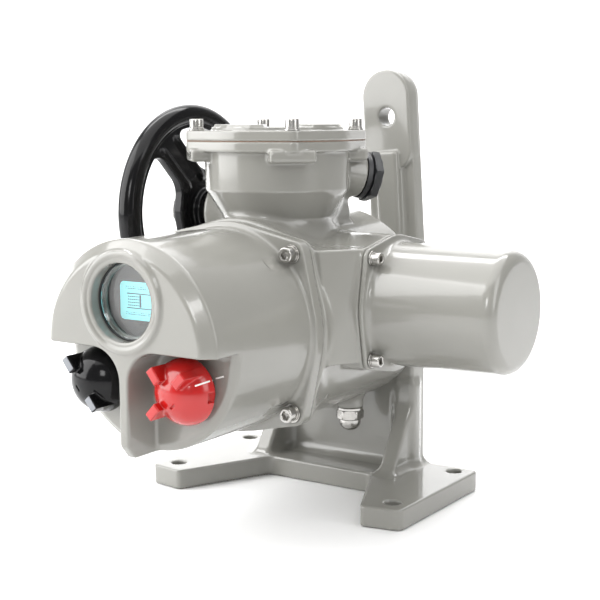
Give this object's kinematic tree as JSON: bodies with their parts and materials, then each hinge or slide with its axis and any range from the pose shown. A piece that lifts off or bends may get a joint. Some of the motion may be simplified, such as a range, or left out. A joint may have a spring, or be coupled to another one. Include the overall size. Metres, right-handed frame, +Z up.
{
  "type": "motorized valve actuator",
  "caption": "Quarter-turn electric valve actuator on a foot stand, with output lever, side handwheel, smooth motor housing, local control head and cable compartment.",
  "frame": {"origin": "underside of the foot, below the mid-plane of the stand plate and below the output shaft's axis", "axes": "+X along the motor, away from the handwheel; +Y from the control head towards the lever; +Z up"},
  "size_m": [0.282, 0.3509, 0.3017],
  "materials": {
    "enamel": "gloss warm grey enamel on castings",
    "black_enamel": "gloss black enamel",
    "bronze": "machined bronze",
    "winding_copper": "lacquered windings",
    "seal_rubber": "matt",
    "window": "clear",
    "display_case": "satin dark plastic",
    "display_face": "lit liquid crystal",
    "circuit_board": "solder mask",
    "red_plastic": "glossy moulded",
    "black_plastic": "glossy moulded",
    "black_nylon": "satin",
    "stainless": "bright stainless",
    "machined_steel": "machined"
  },
  "bodies": {
    "frame": {"base_stand": "enamel", "gear_housing": "enamel", "side_gear_cover": "enamel", "worm_bearing_left": "machined_steel", "worm_bearing_right": "machined_steel", "idler_pin": "machined_steel", "motor_cover": "enamel", "motor_screw_1": "stainless", "motor_screw_2": "stainless", "motor_screw_3": "stainless", "motor_screw_4": "stainless", "motor_seal": "seal_rubber", "motor_stator": "winding_copper", "motor_bearing_front": "machined_steel", "motor_bearing_rear": "machined_steel", "stop_screw_left": "stainless", "stop_screw_right": "stainless", "stop_cap_nut_left": "stainless", "stop_cap_nut_right": "stainless", "output_bearing_front": "machined_steel", "output_bearing_rear": "machined_steel", "output_tube": "enamel", "control_cover": "enamel", "control_screw_1": "stainless", "control_screw_2": "stainless", "control_screw_3": "stainless", "control_screw_4": "stainless", "head_seal": "seal_rubber", "window_glass": "window", "window_seal": "seal_rubber", "display_module": "display_case", "display_screen": "display_face", "control_board": "circuit_board", "red_knob_pin": "machined_steel", "black_knob_pin": "machined_steel", "terminal_cover": "enamel", "terminal_screw_1": "stainless", "terminal_screw_2": "stainless", "terminal_screw_3": "stainless", "terminal_screw_4": "stainless", "terminal_gasket": "seal_rubber", "terminal_block": "black_nylon", "cable_plug": "black_nylon"},
    "output": {"worm_wheel": "bronze", "output_shaft": "machined_steel", "stop_cam": "machined_steel", "lever_arm": "enamel", "lever_screw": "stainless", "lever_washer": "stainless"},
    "worm": {"worm_shaft": "machined_steel", "worm_spur_gear": "machined_steel", "handwheel": "black_enamel", "handwheel_nut": "stainless"},
    "idler": {"idler_gear": "machined_steel"},
    "motor": {"motor_shaft": "machined_steel", "motor_rotor": "machined_steel", "motor_pinion": "machined_steel"},
    "red_knob": {"red_knob": "red_plastic"},
    "black_knob": {"black_knob": "black_plastic"}
  },
  "joints": [
    {"name": "worm_turn", "type": "hinge", "parent": "frame", "child": "worm", "pos_m": [-0.097, -0.062, 0.198], "axis": [1, 0, 0], "range_deg": [-2037, 1743]},
    {"name": "output_turn", "type": "hinge", "parent": "frame", "child": "output", "pos_m": [0, 0.077, 0.1305], "axis": [0, 1, 0], "range_deg": [-41.6, 48.6]},
    {"name": "idler_turn", "type": "hinge", "parent": "frame", "child": "idler", "pos_m": [-0.0564, -0.0674, 0.16747], "axis": [1, 0, 0], "range_deg": [-1259.5, 1471.5]},
    {"name": "motor_turn", "type": "hinge", "parent": "frame", "child": "motor", "pos_m": [0.12, -0.076, 0.144], "axis": [1, 0, 0], "range_deg": [-3783.5, 3237.5]},
    {"name": "red_knob_turn", "type": "hinge", "parent": "frame", "child": "red_knob", "pos_m": [0.033, -0.2306, 0.1076], "axis": [0, -1, 0], "range_deg": [0, 90]},
    {"name": "black_knob_turn", "type": "hinge", "parent": "frame", "child": "black_knob", "pos_m": [-0.033, -0.2306, 0.1076], "axis": [0, -1, 0], "range_deg": [0, 90]}
  ],
  "couplings": [
    {"joint": "output_turn", "follows": "worm_turn", "ratio": -0.02381},
    {"joint": "idler_turn", "follows": "worm_turn", "ratio": -0.72222},
    {"joint": "motor_turn", "follows": "worm_turn", "ratio": 1.8571}
  ]
}
